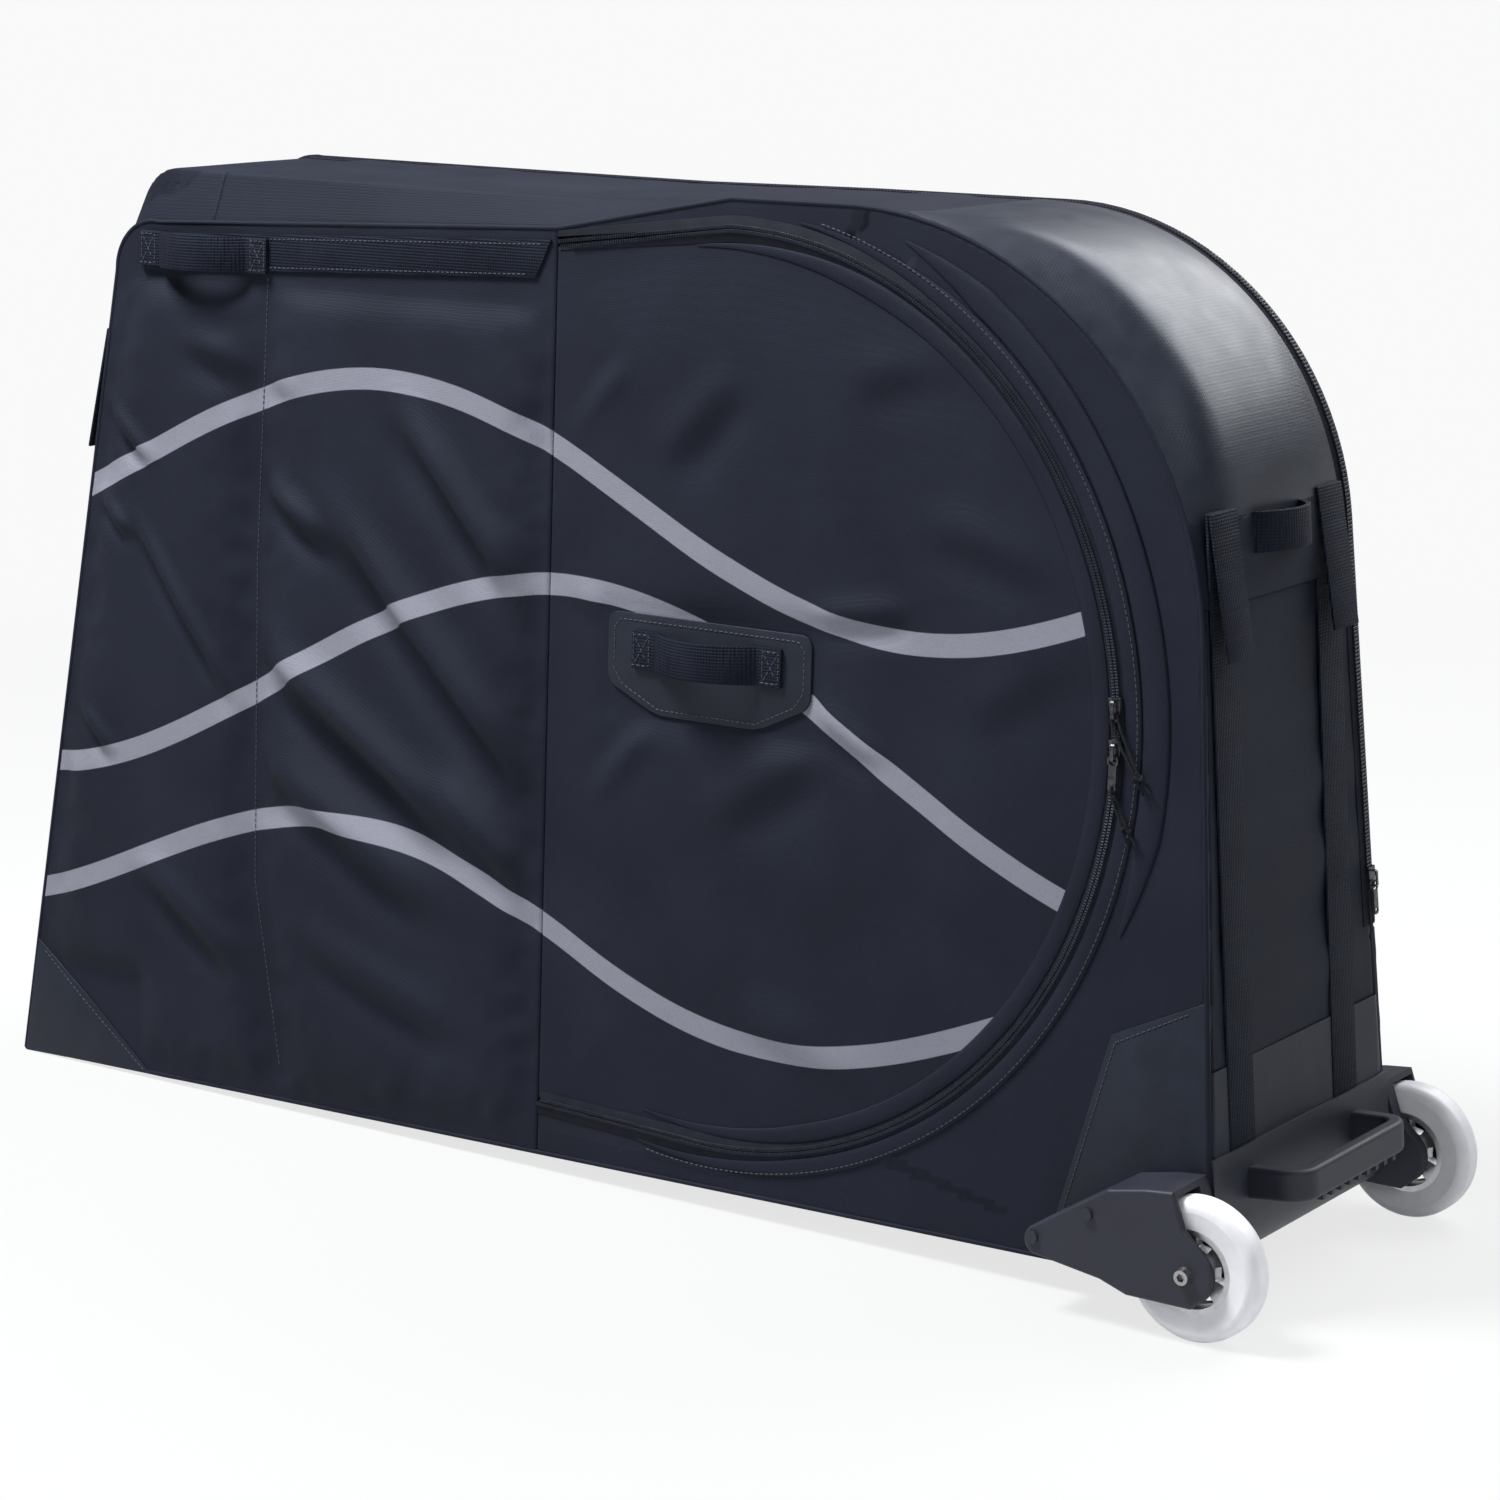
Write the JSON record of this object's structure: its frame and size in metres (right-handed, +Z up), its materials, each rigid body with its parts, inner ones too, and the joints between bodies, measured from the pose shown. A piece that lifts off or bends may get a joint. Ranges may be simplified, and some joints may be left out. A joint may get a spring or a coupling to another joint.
{
  "type": "soft bicycle travel case",
  "caption": "Soft-sided bicycle travel case with a padded shell, zipped side flap and wheel pockets, grab handles and two skate wheels at one end.",
  "frame": {"origin": "on the floor, at the middle of the case's length and width", "axes": "+X along the case to its wheel end, +Y across it towards the side with the big flap, +Z up"},
  "size_m": [1.355, 0.418, 0.8468],
  "materials": {
    "panel_cloth": "woven polyester, padded",
    "coated_cloth": "coated tarpaulin, semi gloss",
    "liner": "thin woven liner",
    "webbing": "woven strap",
    "zip_tape": "woven tape with a moulded coil",
    "zip_metal": "black lacquer",
    "cord": "braided",
    "moulding": "fine grain",
    "shield": "sheet",
    "wheel_rubber": "cast white polyurethane",
    "hub_metal": "cast and painted silver",
    "steel": "plated",
    "foam": "closed cell foam",
    "tube": "drawn tube"
  },
  "bodies": {
    "case_body": {"axle_bolts": "steel", "axle_bushes": "moulding", "base_pad": "foam", "base_panel": "coated_cloth", "base_shroud": "moulding", "corner_patches": "coated_cloth", "end_stays": "tube", "end_straps": "webbing", "end_tabs": "webbing", "far_guard": "moulding", "far_skirt": "panel_cloth", "frame_block": "foam", "front_end_handle": "webbing", "front_end_panel": "panel_cloth", "guard_rivets": "steel", "main_zip_gusset": "zip_tape", "near_front_band": "panel_cloth", "near_front_handle": "webbing", "near_front_panel": "panel_cloth", "near_guard": "moulding", "near_pocket_surround": "panel_cloth", "near_wheel_bag": "liner", "near_hub_shield": "shield", "near_zip_outer": "zip_tape", "shoulder_panel": "coated_cloth", "top_panel": "panel_cloth", "tow_handle": "moulding", "wheel_end_handle": "webbing", "wheel_end_panel": "panel_cloth"},
    "near_wheel": {"near_tyre": "wheel_rubber", "near_hub": "hub_metal", "near_bearings": "steel"},
    "far_wheel": {"far_tyre": "wheel_rubber", "far_hub": "hub_metal", "far_bearings": "steel"},
    "near_flap": {"near_pocket_flap": "panel_cloth", "near_zip_inner": "zip_tape", "near_handle_patch": "webbing", "near_pocket_handle": "webbing"},
    "main_flap": {"far_front_panel": "panel_cloth", "far_pocket_surround": "panel_cloth", "far_wheel_bag": "liner", "far_hub_shield": "shield", "main_zip_flap": "zip_tape", "far_zip_outer": "zip_tape", "far_front_band": "panel_cloth", "far_front_handle": "webbing"},
    "far_flap": {"far_pocket_flap": "panel_cloth", "far_zip_inner": "zip_tape", "far_handle_patch": "webbing", "far_pocket_handle": "webbing"},
    "near_upper_runner": {"near_slider_upper": "zip_metal"},
    "near_upper_cord": {"near_cord_upper": "cord"},
    "near_lower_runner": {"near_slider_lower": "zip_metal"},
    "near_lower_pull": {"near_pull_lower": "zip_metal", "near_cord_lower": "cord"},
    "far_upper_runner": {"far_slider_upper": "zip_metal"},
    "far_lower_runner": {"far_slider_lower": "zip_metal"},
    "main_runner": {"main_slider": "zip_metal"}
  },
  "joints": [
    {"name": "near_wheel_spin", "type": "hinge", "parent": "case_body", "child": "near_wheel", "pos_m": [0.62, -0.181, 0.0575], "axis": [0, 1, 0], "continuous": true},
    {"name": "far_wheel_spin", "type": "hinge", "parent": "case_body", "child": "far_wheel", "pos_m": [0.62, 0.181, 0.0575], "axis": [0, 1, 0], "continuous": true},
    {"name": "near_flap_open", "type": "hinge", "parent": "case_body", "child": "near_flap", "pos_m": [-0.052, -0.1312, 0.43936], "axis": [0, -0.0541, -0.9985], "range_deg": [0, 120]},
    {"name": "main_flap_open", "type": "hinge", "parent": "case_body", "child": "main_flap", "pos_m": [0, 0.15294, 0.03794], "axis": [-1, 0, 0], "range_deg": [0, 90]},
    {"name": "far_flap_open", "type": "hinge", "parent": "main_flap", "child": "far_flap", "pos_m": [-0.052, 0.1312, 0.43936], "axis": [0, -0.0541, 0.9985], "range_deg": [0, 120]},
    {"name": "near_upper_run", "type": "hinge", "parent": "near_flap", "child": "near_upper_runner", "pos_m": [0.126, -0.1312, 0.43936], "axis": [0, -0.9985, 0.0541], "range_deg": [0, 82]},
    {"name": "near_upper_swing", "type": "hinge", "parent": "near_upper_runner", "child": "near_upper_cord", "pos_m": [0.50901, -0.13567, 0.46797], "axis": [0, -0.9985, 0.0541], "range_deg": [0, 60]},
    {"name": "near_lower_run", "type": "hinge", "parent": "near_flap", "child": "near_lower_runner", "pos_m": [0.126, -0.1312, 0.43936], "axis": [0, -0.9985, 0.0541], "range_deg": [-86, 0]},
    {"name": "near_lower_swing", "type": "hinge", "parent": "near_lower_runner", "child": "near_lower_pull", "pos_m": [0.51002, -0.13748, 0.43453], "axis": [0, -0.9985, 0.0541], "range_deg": [-60, 20]},
    {"name": "far_upper_run", "type": "hinge", "parent": "far_flap", "child": "far_upper_runner", "pos_m": [0.126, 0.1312, 0.43936], "axis": [0, -0.9985, -0.0541], "range_deg": [0, 82]},
    {"name": "far_lower_run", "type": "hinge", "parent": "far_flap", "child": "far_lower_runner", "pos_m": [0.126, 0.1312, 0.43936], "axis": [0, -0.9985, -0.0541], "range_deg": [-86, 0]},
    {"name": "main_run", "type": "slide", "parent": "main_flap", "child": "main_runner", "axis": [-0.0698, -0.0539, 0.9961], "range_m": [0, 0.25]}
  ]
}
